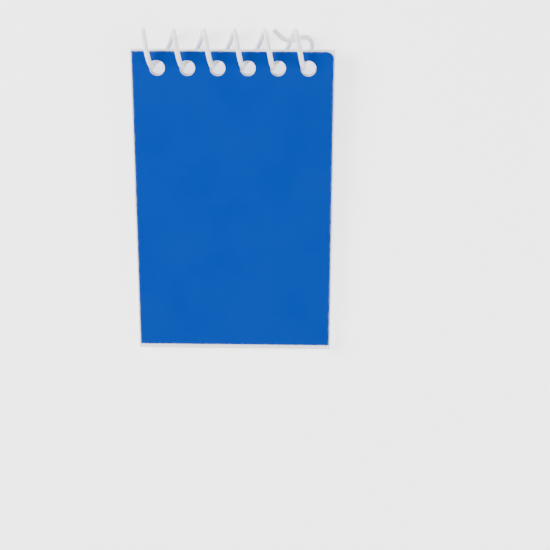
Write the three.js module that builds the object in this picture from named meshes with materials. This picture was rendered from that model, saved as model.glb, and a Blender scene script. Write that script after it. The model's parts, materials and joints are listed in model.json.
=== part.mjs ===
// Pocket notebook: loose sheets between two card covers, bound across the top by one plastic coil.
// Millimetres. +X runs across the pad, +Y from its foot to its coil, +Z out of its front cover.

import * as THREE from 'three';
import { mergeVertices } from 'three/addons/utils/BufferGeometryUtils.js';

// Leaves
const SHEET_WIDTH = 57.15;
const SHEET_LENGTH = 88.9;
const SHEET_THICKNESS = 0.1;
const SHEET_COUNT = 30;
const LEAF_GAP = 0.01;
const COVER_THICKNESS = 0.35;
const COVER_SIDE_INSET = 0.38;
const COVER_TOP_INSET = 0.2;
const COVER_FOOT_INSET = 1.4;
const COVER_CORNER_RADIUS = 2.1;
const CORNER_SEGMENTS = 5;

// Punched holes
const HOLE_COUNT = 6;
const HOLE_PITCH = 25.4 / 3;
const HOLE_RADIUS = 2.18;
const HOLE_SIDES = 8;

// Coil. Angles run about its axis from 0 at the foot side, over the front to 180 at the top.
const WIRE_RADIUS = 0.68;
const WIRE_SIDES = 8;
const COIL_RADIUS = 5.2;
const AXIS_ABOVE_SHEETS = 0.1;
const WIRE_REST_OFFSET = 1.42;
const FRONT_ADVANCE = 2.82;
const PASSAGE_ANGLE = 28;
const FREE_END_ANGLE = 185;
const POINT_STEP = 15;
const SEGMENTS_PER_TURN = 30;

// The coil's bent end, as [distance right of the last hole, angle, radius] about the coil's axis
const HOOK_ROUTE = [
  [-0.75, -50, 5.2],
  [0.3, -70, 5.2],
  [0.88, -88, 5.2],
  [0.98, -103, 5.15],
  [0.5, -117, 4.95],
  [-0.7, -129.5, 4.7],
  [-2.2, -132.5, 4.2],
  [-3.5, -130, 3.73],
  [-5.0, -128.5, 3.55],
  [-6.5, -131, 3.68],
  [-7.7, -138, 4.17],
  [-8.8, -145.5, 4.98],
  [-9.85, -151, 5.85],
];

const blueCard = new THREE.MeshStandardMaterial({ color: 0x0a56a8, roughness: 0.45, metalness: 0 });
const whitePaper = new THREE.MeshStandardMaterial({ color: 0xf4f3f6, roughness: 0.85, metalness: 0 });
const whitePlastic = new THREE.MeshStandardMaterial({ color: 0xf0f0f2, roughness: 0.35, metalness: 0 });

const padThickness = 2 * COVER_THICKNESS + SHEET_COUNT * (SHEET_THICKNESS + LEAF_GAP) + LEAF_GAP;
const passageDepth = Math.sqrt(COIL_RADIUS ** 2 - (padThickness / 2) ** 2);
const holeDepth = (COIL_RADIUS + passageDepth) / 2;
const holeCentres = Array.from({ length: HOLE_COUNT }, (_, i) => (i - (HOLE_COUNT - 1) / 2) * HOLE_PITCH);
const sheetTop = -AXIS_ABOVE_SHEETS;
const sheetEdges = {
  left: -SHEET_WIDTH / 2,
  right: SHEET_WIDTH / 2,
  top: sheetTop,
  foot: sheetTop - SHEET_LENGTH,
};
const coverEdges = {
  left: sheetEdges.left + COVER_SIDE_INSET,
  right: sheetEdges.right - COVER_SIDE_INSET,
  top: sheetEdges.top - COVER_TOP_INSET,
  foot: sheetEdges.foot + COVER_FOOT_INSET,
};

// A punched hole whose flat sides just clear the round one
function holePath(centre) {
  const cornerRadius = HOLE_RADIUS / Math.cos(Math.PI / HOLE_SIDES);
  const corners = Array.from({ length: HOLE_SIDES }, (_, i) => {
    const angle = ((i + 0.5) * 2 * Math.PI) / HOLE_SIDES;
    return new THREE.Vector2(
      centre + cornerRadius * Math.cos(angle),
      -holeDepth + cornerRadius * Math.sin(angle),
    );
  });
  return new THREE.Path(corners);
}

// A leaf's outline, with its top right corner rounded, and its holes
function leafShape(edges, cornerRadius) {
  const shape = new THREE.Shape();
  shape.moveTo(edges.left, edges.foot);
  shape.lineTo(edges.right, edges.foot);
  shape.lineTo(edges.right, edges.top - cornerRadius);
  shape.absarc(edges.right - cornerRadius, edges.top - cornerRadius, cornerRadius, 0, Math.PI / 2, false);
  shape.lineTo(edges.left, edges.top);
  shape.closePath();
  shape.holes = holeCentres.map(holePath);
  return shape;
}

function closedGeometry(geometry) {
  geometry.deleteAttribute('normal');
  geometry.deleteAttribute('uv');
  const merged = mergeVertices(geometry, 1e-4);
  merged.computeVertexNormals();
  return merged;
}

function leaf(name, edges, cornerRadius, thickness, rearFace, material) {
  const geometry = new THREE.ExtrudeGeometry(leafShape(edges, cornerRadius), {
    depth: thickness,
    bevelEnabled: false,
    curveSegments: CORNER_SEGMENTS,
  });
  const mesh = new THREE.Mesh(closedGeometry(geometry), material);
  mesh.name = name;
  mesh.position.z = rearFace;
  return mesh;
}

// How far right of its own hole the wire lies at an angle. It passes straight through the leaves,
// leans gently over the front, and makes up the rest of its pitch behind the pad.
function wireOffset(angle) {
  const beyond = Math.abs(angle) - PASSAGE_ANGLE;
  if (beyond <= 0) {
    return -WIRE_REST_OFFSET;
  }
  if (angle > 0) {
    return -WIRE_REST_OFFSET - (FRONT_ADVANCE * beyond) / 180;
  }
  const share = beyond / (180 - 2 * PASSAGE_ANGLE);
  return -WIRE_REST_OFFSET + (HOLE_PITCH - FRONT_ADVANCE) * Math.sin((share * Math.PI) / 2);
}

function coilPoint(x, angle, radius) {
  const turn = THREE.MathUtils.degToRad(angle);
  return new THREE.Vector3(x, -radius * Math.cos(turn), radius * Math.sin(turn));
}

function coilRoute() {
  const points = [];
  const lastPassage = -360 * (HOLE_COUNT - 1) - PASSAGE_ANGLE;
  for (let total = FREE_END_ANGLE; total > lastPassage + POINT_STEP / 2; total -= POINT_STEP) {
    const hole = Math.ceil((-total - 180 + PASSAGE_ANGLE) / 360);
    const bounded = THREE.MathUtils.clamp(hole, 0, HOLE_COUNT - 1);
    const angle = total + 360 * bounded;
    points.push(coilPoint(holeCentres[bounded] + wireOffset(angle), angle, COIL_RADIUS));
  }
  const lastHole = holeCentres[HOLE_COUNT - 1];
  points.push(coilPoint(lastHole - WIRE_REST_OFFSET, -PASSAGE_ANGLE, COIL_RADIUS));
  for (const [x, angle, radius] of HOOK_ROUTE) {
    points.push(coilPoint(lastHole + x, angle, radius));
  }
  return new THREE.CatmullRomCurve3(points, false, 'centripetal');
}

function coil() {
  const route = coilRoute();
  route.arcLengthDivisions = 4000;
  const section = new THREE.Shape(
    Array.from({ length: WIRE_SIDES }, (_, i) => {
      const angle = (i * 2 * Math.PI) / WIRE_SIDES;
      return new THREE.Vector2(WIRE_RADIUS * Math.cos(angle), WIRE_RADIUS * Math.sin(angle));
    }),
  );
  const segmentLength = (2 * Math.PI * COIL_RADIUS) / SEGMENTS_PER_TURN;
  const geometry = new THREE.ExtrudeGeometry(section, {
    steps: Math.round(route.getLength() / segmentLength),
    extrudePath: route,
    bevelEnabled: false,
  });
  const mesh = new THREE.Mesh(closedGeometry(geometry), whitePlastic);
  mesh.name = 'coil';
  return mesh;
}

const pad = new THREE.Group();
const rearFace = -padThickness / 2;
pad.add(leaf('back_cover', coverEdges, 0, COVER_THICKNESS, rearFace, blueCard));
for (let i = SHEET_COUNT; i >= 1; i -= 1) {
  const below = (SHEET_COUNT - i) * (SHEET_THICKNESS + LEAF_GAP);
  const name = `sheet_${String(i).padStart(2, '0')}`;
  const rear = rearFace + COVER_THICKNESS + LEAF_GAP + below;
  pad.add(leaf(name, sheetEdges, 0, SHEET_THICKNESS, rear, whitePaper));
}
const frontRear = rearFace + padThickness - COVER_THICKNESS;
pad.add(leaf('front_cover', coverEdges, COVER_CORNER_RADIUS, COVER_THICKNESS, frontRear, blueCard));
pad.add(coil());

// The pad lies on its back: centred over the floor, with the coil's lowest point on it
const box = new THREE.Box3().setFromObject(pad);
const centre = box.getCenter(new THREE.Vector3());
pad.position.set(-centre.x, -centre.y, -box.min.z);

const group = new THREE.Group();
group.add(pad);

export default group;
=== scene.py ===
"""Pocket notebook: the fine surfaces, materials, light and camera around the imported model.

Metres, in the model's own frame: +X across the pad, +Y from its foot to its coil, +Z out of its front cover.
"""

import json
import math
import random

import bmesh
import bpy
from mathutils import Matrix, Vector, geometry


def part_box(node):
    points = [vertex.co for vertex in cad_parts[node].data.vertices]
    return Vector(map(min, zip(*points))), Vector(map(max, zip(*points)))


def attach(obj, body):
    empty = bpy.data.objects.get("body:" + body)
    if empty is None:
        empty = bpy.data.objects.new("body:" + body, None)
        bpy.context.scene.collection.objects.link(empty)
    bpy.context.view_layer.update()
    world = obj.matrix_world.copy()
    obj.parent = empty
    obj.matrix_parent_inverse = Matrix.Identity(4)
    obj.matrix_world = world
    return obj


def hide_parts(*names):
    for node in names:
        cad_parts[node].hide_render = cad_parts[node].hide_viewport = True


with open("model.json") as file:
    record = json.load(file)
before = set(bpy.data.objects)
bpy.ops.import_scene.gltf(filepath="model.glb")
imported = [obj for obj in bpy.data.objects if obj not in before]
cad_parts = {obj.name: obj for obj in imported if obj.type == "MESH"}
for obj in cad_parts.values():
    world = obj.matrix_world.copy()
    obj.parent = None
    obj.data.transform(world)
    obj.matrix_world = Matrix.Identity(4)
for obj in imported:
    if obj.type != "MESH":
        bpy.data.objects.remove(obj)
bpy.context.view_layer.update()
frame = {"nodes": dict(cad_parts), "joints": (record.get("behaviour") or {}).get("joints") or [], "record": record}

MM = 0.001
HOLE_COUNT = 6
HOLE_PITCH = 25.4 / 3 * MM
HOLE_RADIUS = 2.18 * MM
HOLE_SEGMENTS = 48
COVER_CORNER_RADIUS = 2.1 * MM
CORNER_SEGMENTS = 12
EDGE_ROUNDING = 0.05 * MM
GRID_STEP = 3.4 * MM
GRID_MARGIN = 0.6 * MM
SLIVER_AREA = 0.001 * MM**2
# Points nearer to each other than this, in millimetres, are joined when a leaf is triangulated
WELD_DISTANCE = 1e-5
# A triangle is inside a hole when its middle is within this share of the hole's radius
INSIDE_HOLE_SHARE = 0.995
LEAF_SHARP_ANGLE = 35
ROUNDED_EDGE_ANGLE = 60

WIRE_RADIUS = 0.68 * MM
COIL_RADIUS = 5.2 * MM
WIRE_REST_OFFSET = 1.42 * MM
FRONT_ADVANCE = 2.82 * MM
PASSAGE_ANGLE = 28
FREE_END_ANGLE = 185
POINT_STEP = 15
POINTS_BETWEEN = 6
WIRE_SIDES = 24
WIRE_SHARP_ANGLE = 50
# A cut end's softened rim as a share of the wire's radius, and its middle ring's share of that rim
RIM_SHARE = 0.18
RIM_MIDDLE_SHARE = 0.3
# The coil's bent end, as (millimetres right of the last hole, angle, radius in millimetres) about its axis
HOOK_ROUTE = (
    (-0.75, -50, 5.2),
    (0.3, -70, 5.2),
    (0.88, -88, 5.2),
    (0.98, -103, 5.15),
    (0.5, -117, 4.95),
    (-0.7, -129.5, 4.7),
    (-2.2, -132.5, 4.2),
    (-3.5, -130, 3.73),
    (-5.0, -128.5, 3.55),
    (-6.5, -131, 3.68),
    (-7.7, -138, 4.17),
    (-8.8, -145.5, 4.98),
    (-9.85, -151, 5.85),
)

# How far the free edge of the front cover stands up, and how unevenly cut the sheets are
FOOT_LIFT = 0.5 * MM
SIDE_LIFT_SHARE = 0.3
CUT_TOLERANCE = 0.07 * MM
# The relative gap under each sheet's foot, and the top sheet's lift as a share of the cover's
SHEET_STEP_RANGE = (0.2, 1.8)
TOP_SHEET_SHARE = 0.96

# Nearly all of a noise's values lie between these
NOISE_RANGE = (0.3, 0.7)

BLUE = (0.0004, 0.0325, 0.255)
BLUE_PALE = (0.0005, 0.0345, 0.266)
CARD_CORE = (0.50, 0.60, 0.78)
WORN_WIDTH = 0.45 * MM
PAPER = (0.86, 0.86, 0.885)
PAPER_PALE = (0.90, 0.90, 0.92)
# Painted shade: the darker grey painted on the sheets' cut edges
PAPER_EDGE_SHADE = (0.66, 0.66, 0.69)
RULING = (0.52, 0.60, 0.72)
RULE_SPACING = 7.0 * MM
RULE_WIDTH = 0.22 * MM
RULE_FOOT_MARGIN = 4.5 * MM
RULE_HEAD_MARGIN = 8.0 * MM
PLASTIC = (0.87, 0.87, 0.875)
PLASTIC_PALE = (0.90, 0.90, 0.905)
FLOOR = (0.93, 0.93, 0.93)
FLOOR_PALE = tuple(c * 1.01 for c in FLOOR)
FLOOR_GLOW = 1.8
FLOOR_SIZE = 3.0
FLOOR_GAP = 0.02 * MM

# The room is bright low down and dim overhead. The heights are sines of the angle above the horizon
WALL_HEIGHTS = (0.0, 0.42)
WALL_STRENGTH = 1.3
CEILING_STRENGTH = 0.1
# Each light: its place in metres, its diameter and its power in watts
LIGHTS = {
    "key": ((-0.50, 0.24, 0.46), 0.45, 10.5),
    "fill": ((0.52, -0.12, 0.42), 0.55, 6.0),
    "foot": ((-0.05, -0.60, 0.40), 0.40, 2.5),
}

# The camera's place from the middle of the pad on the coil's axis, in millimetres, and its turn in degrees
CAMERA_OFFSET = (17.2, 47.2, 339.8)
CAMERA_TURN = (-18.47, 0.94, 0.19)
CAMERA_LENS = 79.1
CAMERA_SENSOR = 36
CAMERA_CLIP = (0.01, 10)

chance = random.Random(11)
axis_point = Vector(next(j for j in frame["joints"] if j["name"] == "cover_turn")["pos_m"])
sheet_names = sorted(n for n in frame["nodes"] if n.startswith("sheet_"))
body_of_node = {n: b for b, nodes in frame["record"]["behaviour"]["bodies"].items() for n in nodes}
hole_centres = [(i - (HOLE_COUNT - 1) / 2) * HOLE_PITCH for i in range(HOLE_COUNT)]


# Leaves


def hole_line():
    """The hole centres' height: midway between the wire's places in the pad's middle and at its faces."""
    half = (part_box("front_cover")[1].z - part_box("back_cover")[0].z) / 2
    at_face = math.sqrt(COIL_RADIUS**2 - half**2)
    return axis_point.y - (COIL_RADIUS + at_face) / 2


hole_y = hole_line()


def circle(x, y, radius, segments):
    turns = [2 * math.pi * i / segments for i in range(segments)]
    return [Vector((x + radius * math.cos(t), y + radius * math.sin(t))) for t in turns]


def outline(low, high, corner_radius):
    """A leaf's outer edge, anticlockwise, in steps of the grid. A radius rounds its top right corner."""
    corners = [Vector((low.x, low.y)), Vector((high.x, low.y))]
    if corner_radius:
        centre = Vector((high.x - corner_radius, high.y - corner_radius))
        for i in range(CORNER_SEGMENTS + 1):
            turn = math.pi / 2 * i / CORNER_SEGMENTS
            corners.append(centre + corner_radius * Vector((math.cos(turn), math.sin(turn))))
    else:
        corners.append(Vector((high.x, high.y)))
    corners.append(Vector((low.x, high.y)))
    points = []
    for start, end in zip(corners, corners[1:] + corners[:1]):
        steps = max(1, round((end - start).length / GRID_STEP))
        points += [start.lerp(end, i / steps) for i in range(steps)]
    return points


def inner_points(low, high):
    """Grid points inside the leaf, clear of its edge and its holes, which let it bow smoothly."""
    columns = round((high.x - low.x) / GRID_STEP)
    rows = round((high.y - low.y) / GRID_STEP)
    points = []
    for i in range(1, columns):
        for j in range(1, rows):
            x = low.x + (high.x - low.x) * i / columns
            y = low.y + (high.y - low.y) * j / rows
            near_hole = any(math.hypot(x - c, y - hole_y) < HOLE_RADIUS + GRID_MARGIN for c in hole_centres)
            near_corner = x > high.x - GRID_MARGIN - COVER_CORNER_RADIUS and y > high.y - COVER_CORNER_RADIUS
            if not near_hole and not near_corner:
                points.append(Vector((x, y)))
    return points


def lift(x, y, low, high, share):
    """How far a point stands up from flat: nothing at the holes, most at the foot and more to the right."""
    along = max(0.0, (hole_y - HOLE_RADIUS - y) / (hole_y - HOLE_RADIUS - low.y))
    across = 2 * (x - low.x) / (high.x - low.x) - 1
    return FOOT_LIFT * share * along**2 * (1 + SIDE_LIFT_SHARE * across)


def leaf(name, low, high, corner_radius, lift_share, rounding):
    """A thin plate with six round holes, standing for a CAD leaf of the same name."""
    loops = [outline(low, high, corner_radius)]
    loops += [circle(c, hole_y, HOLE_RADIUS, HOLE_SEGMENTS) for c in hole_centres]
    points, ring_edges, rings = [], [], []
    for loop in loops:
        first = len(points)
        ring = list(range(first, first + len(loop)))
        rings.append(ring)
        ring_edges += list(zip(ring, ring[1:] + ring[:1]))
        points += loop
    points += inner_points(low, high)
    scaled = [p / MM for p in points]
    flat, _, triangles, *_ = geometry.delaunay_2d_cdt(scaled, ring_edges, [], 0, WELD_DISTANCE)
    flat = [p * MM for p in flat]
    hole_reach = HOLE_RADIUS * INSIDE_HOLE_SHARE

    def kept(triangle):
        a, b, c = (flat[i] for i in triangle)
        if abs((b - a).cross(c - a)) / 2 < SLIVER_AREA:
            return False
        middle = (a + b + c) / 3
        if any((middle - Vector((x, hole_y))).length < hole_reach for x in hole_centres):
            return False
        corner = Vector((high.x - corner_radius, high.y - corner_radius))
        beyond = middle - corner
        return not (corner_radius and beyond.x > 0 and beyond.y > 0 and beyond.length > corner_radius)

    triangles = [t for t in triangles if kept(t)]
    mesh = bpy.data.meshes.new(name)
    count = len(flat)
    lifts = [lift(p.x, p.y, low, high, lift_share) for p in flat]
    vertices = [(p.x, p.y, low.z + h) for p, h in zip(flat, lifts)]
    vertices += [(p.x, p.y, high.z + h) for p, h in zip(flat, lifts)]
    faces = [tuple(reversed(t)) for t in triangles]
    faces += [tuple(i + count for i in t) for t in triangles]
    for place, ring in enumerate(rings):
        for a, b in zip(ring, ring[1:] + ring[:1]):
            wall = (a, b, b + count, a + count)
            faces.append(wall if place == 0 else tuple(reversed(wall)))
    mesh.from_pydata(vertices, [], faces)
    bm = bmesh.new()
    bm.from_mesh(mesh)
    bmesh.ops.recalc_face_normals(bm, faces=bm.faces)
    bm.to_mesh(mesh)
    bm.free()
    first_wall = 2 * len(triangles)
    for face in mesh.polygons:
        face.use_smooth = face.index >= first_wall
    mesh.set_sharp_from_angle(angle=math.radians(LEAF_SHARP_ANGLE))
    piece = bpy.data.objects.new(name + "_fine", mesh)
    bpy.context.collection.objects.link(piece)
    if rounding:
        bevel = piece.modifiers.new("edge", "BEVEL")
        bevel.width = rounding
        bevel.segments = 2
        bevel.limit_method = "ANGLE"
        bevel.angle_limit = math.radians(ROUNDED_EDGE_ANGLE)
        bevel.use_clamp_overlap = False
    return piece


def add_piece(piece, node, material):
    piece.data.materials.append(material)
    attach(piece, body_of_node[node])
    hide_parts(node)


def add_cover(node, corner_radius, lift_share, material):
    low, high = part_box(node)
    add_piece(leaf(node, low, high, corner_radius, lift_share, EDGE_ROUNDING), node, material)


def add_sheets(material):
    """The sheets from the rearmost up. Each stands up at the foot a little more than the one below it."""
    steps = [chance.uniform(*SHEET_STEP_RANGE) for _ in sheet_names]
    total = sum(steps)
    reached = 0.0
    for node, step in zip(reversed(sheet_names), steps):
        reached += step
        low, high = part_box(node)
        low.x += chance.uniform(0, CUT_TOLERANCE)
        high.x -= chance.uniform(0, CUT_TOLERANCE)
        low.y += chance.uniform(0, CUT_TOLERANCE)
        high.y -= chance.uniform(0, CUT_TOLERANCE)
        share = reached / total * TOP_SHEET_SHARE
        add_piece(leaf(node, low, high, 0, share, 0), node, material)


# Coil


def wire_offset(angle):
    """How far right of its own hole the wire lies at an angle about the coil's axis."""
    beyond = abs(angle) - PASSAGE_ANGLE
    if beyond <= 0:
        return -WIRE_REST_OFFSET
    if angle > 0:
        return -WIRE_REST_OFFSET - FRONT_ADVANCE * beyond / 180
    share = beyond / (180 - 2 * PASSAGE_ANGLE)
    return -WIRE_REST_OFFSET + (HOLE_PITCH - FRONT_ADVANCE) * math.sin(share * math.pi / 2)


def coil_point(x, angle, radius):
    turn = math.radians(angle)
    return Vector((x, axis_point.y - radius * math.cos(turn), axis_point.z + radius * math.sin(turn)))


def coil_points():
    points = []
    total = FREE_END_ANGLE
    while total > -360 * (HOLE_COUNT - 1) - PASSAGE_ANGLE + POINT_STEP / 2:
        hole = min(max(math.ceil((-total - 180 + PASSAGE_ANGLE) / 360), 0), HOLE_COUNT - 1)
        angle = total + 360 * hole
        points.append(coil_point(hole_centres[hole] + wire_offset(angle), angle, COIL_RADIUS))
        total -= POINT_STEP
    points.append(coil_point(hole_centres[-1] - WIRE_REST_OFFSET, -PASSAGE_ANGLE, COIL_RADIUS))
    points += [coil_point(hole_centres[-1] + x * MM, angle, radius * MM) for x, angle, radius in HOOK_ROUTE]
    return points


def smooth_route(points):
    """A centripetal Catmull-Rom curve through the points."""
    ends = [points[0] * 2 - points[1]] + points + [points[-1] * 2 - points[-2]]
    route = []
    for p0, p1, p2, p3 in zip(ends, ends[1:], ends[2:], ends[3:]):
        t1 = math.sqrt((p1 - p0).length)
        t2 = t1 + math.sqrt((p2 - p1).length)
        t3 = t2 + math.sqrt((p3 - p2).length)
        for i in range(POINTS_BETWEEN):
            t = t1 + (t2 - t1) * i / POINTS_BETWEEN
            a1 = p0.lerp(p1, t / t1)
            a2 = p1.lerp(p2, (t - t1) / (t2 - t1))
            a3 = p2.lerp(p3, (t - t2) / (t3 - t2))
            b1 = a1.lerp(a2, t / t2)
            b2 = a2.lerp(a3, (t - t1) / (t3 - t1))
            route.append(b1.lerp(b2, (t - t1) / (t2 - t1)))
    route.append(points[-1])
    return route


def wire_mesh(name, route, radius):
    """A round wire along a route, its ends cut square with a softened rim."""
    rim_width = RIM_SHARE * radius
    start = (route[1] - route[0]).normalized()
    end = (route[-1] - route[-2]).normalized()
    middle_radius = radius - rim_width * RIM_MIDDLE_SHARE
    stations = [(route[0], radius - rim_width)]
    stations.append((route[0] + start * rim_width * RIM_MIDDLE_SHARE, middle_radius))
    stations.append((route[0] + start * rim_width, radius))
    stations += [(p, radius) for p in route[1:-1]]
    stations.append((route[-1] - end * rim_width, radius))
    stations.append((route[-1] - end * rim_width * RIM_MIDDLE_SHARE, middle_radius))
    stations.append((route[-1], radius - rim_width))
    centres = [p for p, _ in stations]
    side = start.orthogonal().normalized()
    bm = bmesh.new()
    rings = []
    for i, (centre, size) in enumerate(stations):
        ahead = centres[min(i + 1, len(centres) - 1)] - centres[max(i - 1, 0)]
        ahead.normalize()
        side = (side - ahead * side.dot(ahead)).normalized()
        other = ahead.cross(side)
        ring = []
        for k in range(WIRE_SIDES):
            turn = 2 * math.pi * k / WIRE_SIDES
            ring.append(bm.verts.new(centre + (side * math.cos(turn) + other * math.sin(turn)) * size))
        rings.append(ring)
    for a, b in zip(rings, rings[1:]):
        for k in range(WIRE_SIDES):
            after = (k + 1) % WIRE_SIDES
            bm.faces.new((a[k], a[after], b[after], b[k]))
    bm.faces.new(list(reversed(rings[0])))
    bm.faces.new(rings[-1])
    bmesh.ops.recalc_face_normals(bm, faces=bm.faces)
    mesh = bpy.data.meshes.new(name)
    bm.to_mesh(mesh)
    bm.free()
    mesh.shade_smooth()
    mesh.set_sharp_from_angle(angle=math.radians(WIRE_SHARP_ANGLE))
    piece = bpy.data.objects.new(name + "_fine", mesh)
    bpy.context.collection.objects.link(piece)
    return piece


# Materials


def start_material(name):
    material = bpy.data.materials.new(name)
    material.use_nodes = True
    tree = material.node_tree
    shader = tree.nodes["Principled BSDF"]
    place = tree.nodes.new("ShaderNodeTexCoord")
    return material, tree, shader, place


def noise(tree, place, scale, detail, stretch=None):
    node = tree.nodes.new("ShaderNodeTexNoise")
    node.inputs["Scale"].default_value = scale
    node.inputs["Detail"].default_value = detail
    source = place.outputs["Object"]
    if stretch:
        mapping = tree.nodes.new("ShaderNodeMapping")
        mapping.inputs["Scale"].default_value = stretch
        tree.links.new(source, mapping.inputs["Vector"])
        source = mapping.outputs["Vector"]
    tree.links.new(source, node.inputs["Vector"])
    return node.outputs["Fac"]


def spread(tree, value, low, high, to_low=0.0, to_high=1.0):
    node = tree.nodes.new("ShaderNodeMapRange")
    node.inputs["From Min"].default_value = low
    node.inputs["From Max"].default_value = high
    node.inputs["To Min"].default_value = to_low
    node.inputs["To Max"].default_value = to_high
    tree.links.new(value, node.inputs["Value"])
    return node.outputs["Result"]


def mix(tree, factor, first, second):
    """Mixes two colours. Each is a colour or another node's output."""
    node = tree.nodes.new("ShaderNodeMix")
    node.data_type = "RGBA"
    tree.links.new(factor, node.inputs["Factor"])
    sockets = [s for s in node.inputs if s.type == "RGBA"]
    for socket, colour in zip(sockets, (first, second)):
        if isinstance(colour, tuple):
            socket.default_value = (*colour, 1)
        else:
            tree.links.new(colour, socket)
    return next(s for s in node.outputs if s.type == "RGBA")


def maths(tree, operation, *values):
    node = tree.nodes.new("ShaderNodeMath")
    node.operation = operation
    for socket, value in zip(node.inputs, values):
        if isinstance(value, (int, float)):
            socket.default_value = value
        else:
            tree.links.new(value, socket)
    return node.outputs["Value"]


def bump(tree, height, distance, strength, below=None):
    node = tree.nodes.new("ShaderNodeBump")
    node.inputs["Distance"].default_value = distance
    node.inputs["Strength"].default_value = strength
    tree.links.new(height, node.inputs["Height"])
    if below:
        tree.links.new(below, node.inputs["Normal"])
    return node.outputs["Normal"]


def facing_up(tree, place):
    """1 on a leaf's two faces and 0 on its cut edges."""
    split = tree.nodes.new("ShaderNodeSeparateXYZ")
    tree.links.new(place.outputs["Normal"], split.inputs["Vector"])
    return spread(tree, maths(tree, "ABSOLUTE", split.outputs["Z"]), 0.5, 0.85)


def rim(tree, place, node, width):
    """1 along a leaf's outer edge, falling to 0 at a given width inside it."""
    low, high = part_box(node)
    split = tree.nodes.new("ShaderNodeSeparateXYZ")
    tree.links.new(place.outputs["Object"], split.inputs["Vector"])
    inside = None
    for output, first, last in (("X", low.x, high.x), ("Y", low.y, high.y)):
        centred = maths(tree, "SUBTRACT", split.outputs[output], (first + last) / 2)
        distance = maths(tree, "SUBTRACT", (last - first) / 2, maths(tree, "ABSOLUTE", centred))
        inside = distance if inside is None else maths(tree, "MINIMUM", inside, distance)
    return spread(tree, inside, 0, width, 1, 0)


def card_material(name, node):
    """Smooth coated card: solid blue faces with a fine calendered grain, and a paler cut edge."""
    material, tree, shader, place = start_material(name)
    mottle = spread(tree, noise(tree, place, scale=90, detail=4), *NOISE_RANGE)
    grain = noise(tree, place, scale=5200, detail=3)
    fibres = noise(tree, place, scale=1500, detail=5, stretch=(1, 0.3, 1))
    face = mix(tree, mottle, BLUE, BLUE_PALE)
    edge = rim(tree, place, node, WORN_WIDTH)
    patches = spread(tree, fibres, 0.42, 0.7, to_low=0, to_high=0.35)
    worn = maths(tree, "MULTIPLY", edge, patches)
    face = mix(tree, worn, face, CARD_CORE)
    colour = mix(tree, facing_up(tree, place), mix(tree, mottle, CARD_CORE, BLUE_PALE), face)
    tree.links.new(colour, shader.inputs["Base Color"])
    tree.links.new(spread(tree, mottle, 0, 1, to_low=0.28, to_high=0.34), shader.inputs["Roughness"])
    soft = bump(tree, fibres, distance=0.02 * MM, strength=0.35)
    fine = bump(tree, grain, distance=0.008 * MM, strength=0.3, below=soft)
    tree.links.new(fine, shader.inputs["Normal"])
    shader.inputs["Specular IOR Level"].default_value = 0.14
    return material


def paper_material():
    """Uncoated white paper with soft fibres and faint ruled lines, and painted shade: its cut edges are painted
    greyer, in streaks.
    """
    material, tree, shader, place = start_material("sheet_paper")
    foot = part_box("sheet_01")[0].y
    mottle = spread(tree, noise(tree, place, scale=260, detail=5), *NOISE_RANGE)
    fibres = noise(tree, place, scale=3800, detail=6, stretch=(1, 0.45, 1))
    split = tree.nodes.new("ShaderNodeSeparateXYZ")
    tree.links.new(place.outputs["Object"], split.inputs["Vector"])
    height = maths(tree, "SUBTRACT", split.outputs["Y"], foot + RULE_FOOT_MARGIN)
    row = maths(tree, "FRACT", maths(tree, "DIVIDE", height, RULE_SPACING))
    on_line = maths(tree, "LESS_THAN", row, RULE_WIDTH / RULE_SPACING)
    ruled_part = maths(tree, "LESS_THAN", split.outputs["Y"], hole_y - RULE_HEAD_MARGIN)
    ink = spread(tree, fibres, 0.25, 0.7, to_low=0.75, to_high=0.5)
    ruled = maths(tree, "MULTIPLY", maths(tree, "MULTIPLY", on_line, ruled_part), ink)
    face = mix(tree, ruled, mix(tree, mottle, PAPER, PAPER_PALE), RULING)
    # Painted shade on the cut edges: streaks of darker grey along the stack's edges
    streaks = noise(tree, place, scale=900, detail=5, stretch=(0.03, 0.03, 4))
    edge_shade_streaks = spread(tree, streaks, *NOISE_RANGE)
    cut = mix(tree, edge_shade_streaks, PAPER_EDGE_SHADE, PAPER)
    tree.links.new(mix(tree, facing_up(tree, place), cut, face), shader.inputs["Base Color"])
    roughness = spread(tree, fibres, *NOISE_RANGE, to_low=0.78, to_high=0.92)
    tree.links.new(roughness, shader.inputs["Roughness"])
    tree.links.new(bump(tree, fibres, distance=0.012 * MM, strength=0.5), shader.inputs["Normal"])
    shader.inputs["Specular IOR Level"].default_value = 0.3
    return material


def plastic_material():
    """Drawn white plastic: smooth and faintly translucent, with fine drawing lines and slight unevenness."""
    material, tree, shader, place = start_material("coil_plastic")
    cloud = spread(tree, noise(tree, place, scale=220, detail=3), *NOISE_RANGE)
    lines = noise(tree, place, scale=2600, detail=3, stretch=(1, 0.25, 0.25))
    tree.links.new(mix(tree, cloud, PLASTIC, PLASTIC_PALE), shader.inputs["Base Color"])
    roughness = spread(tree, lines, *NOISE_RANGE, to_low=0.26, to_high=0.38)
    tree.links.new(roughness, shader.inputs["Roughness"])
    tree.links.new(bump(tree, lines, distance=0.01 * MM, strength=0.25), shader.inputs["Normal"])
    shader.inputs["IOR"].default_value = 1.5
    shader.inputs["Subsurface Weight"].default_value = 0.25
    shader.inputs["Subsurface Radius"].default_value = (1.0, 0.95, 0.9)
    shader.inputs["Subsurface Scale"].default_value = 0.6 * MM
    return material


def floor_material():
    """A white light table: pale, matt and softly lit from below."""
    material, tree, shader, place = start_material("studio_floor")
    tone = spread(tree, noise(tree, place, scale=14, detail=3), *NOISE_RANGE)
    tree.links.new(mix(tree, tone, FLOOR, FLOOR_PALE), shader.inputs["Base Color"])
    shader.inputs["Roughness"].default_value = 0.9
    shader.inputs["Specular IOR Level"].default_value = 0.2
    shader.inputs["Emission Color"].default_value = (1, 1, 1, 1)
    shader.inputs["Emission Strength"].default_value = FLOOR_GLOW
    return material


# Studio


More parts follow.
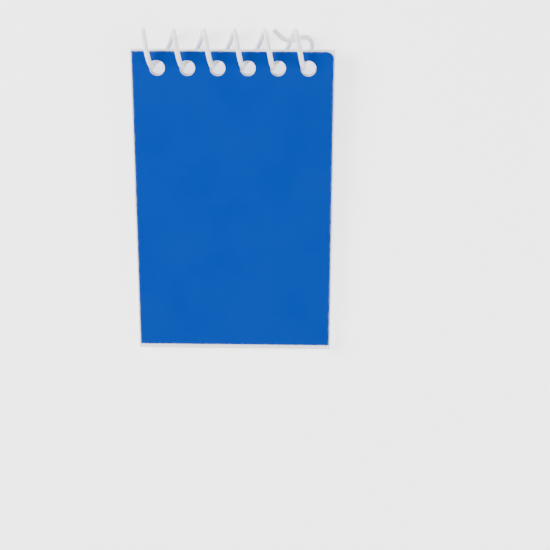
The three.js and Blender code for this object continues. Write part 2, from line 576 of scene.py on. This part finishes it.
def add_floor():
    """A pale plane just under the coil and the foot of the back cover."""
    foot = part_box("back_cover")[0]
    coil_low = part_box("coil")[0]
    run = axis_point.y - foot.y
    slope = math.atan2(foot.z - coil_low.z, run)
    below_coil = (0, axis_point.y, coil_low.z - FLOOR_GAP)
    bpy.ops.mesh.primitive_plane_add(size=FLOOR_SIZE, location=below_coil)
    floor = bpy.context.object
    floor.name = "studio_floor"
    floor.rotation_euler = (-slope, 0, 0)
    floor.data.materials.append(floor_material())


def add_studio():
    """Wide, soft lights at the sides of a room with a dim ceiling, which keep glare off the cover."""
    world = bpy.data.worlds.new("studio")
    bpy.context.scene.world = world
    world.use_nodes = True
    tree = world.node_tree
    background = tree.nodes["Background"]
    background.inputs["Color"].default_value = (1, 1, 1, 1)
    split = tree.nodes.new("ShaderNodeSeparateXYZ")
    tree.links.new(tree.nodes.new("ShaderNodeTexCoord").outputs["Generated"], split.inputs["Vector"])
    strength = spread(tree, split.outputs["Z"], *WALL_HEIGHTS, WALL_STRENGTH, CEILING_STRENGTH)
    tree.links.new(strength, background.inputs["Strength"])
    for name, (place, size, power) in LIGHTS.items():
        data = bpy.data.lights.new(name, "AREA")
        data.shape = "DISK"
        data.size = size
        data.energy = power
        light = bpy.data.objects.new(name, data)
        light.location = place
        light.rotation_euler = (-Vector(place)).to_track_quat("-Z", "Y").to_euler()
        bpy.context.collection.objects.link(light)


def add_camera():
    """Above the pad and a little towards its coil, so that the far end of the cover looks narrower."""
    data = bpy.data.cameras.new("camera")
    data.sensor_width = CAMERA_SENSOR
    data.lens = CAMERA_LENS
    data.clip_start, data.clip_end = CAMERA_CLIP
    camera = bpy.data.objects.new("camera", data)
    camera.location = axis_point + Vector(CAMERA_OFFSET) * MM
    camera.rotation_euler = [math.radians(a) for a in CAMERA_TURN]
    bpy.context.collection.objects.link(camera)
    bpy.context.scene.camera = camera


paper = paper_material()
add_camera()
add_cover("back_cover", 0, 0, card_material("back_card", "back_cover"))
add_sheets(paper)
add_cover("front_cover", COVER_CORNER_RADIUS, 1, card_material("front_card", "front_cover"))
coil_wire = wire_mesh("coil", smooth_route(coil_points()), WIRE_RADIUS)
add_piece(coil_wire, "coil", plastic_material())
add_floor()
add_studio()
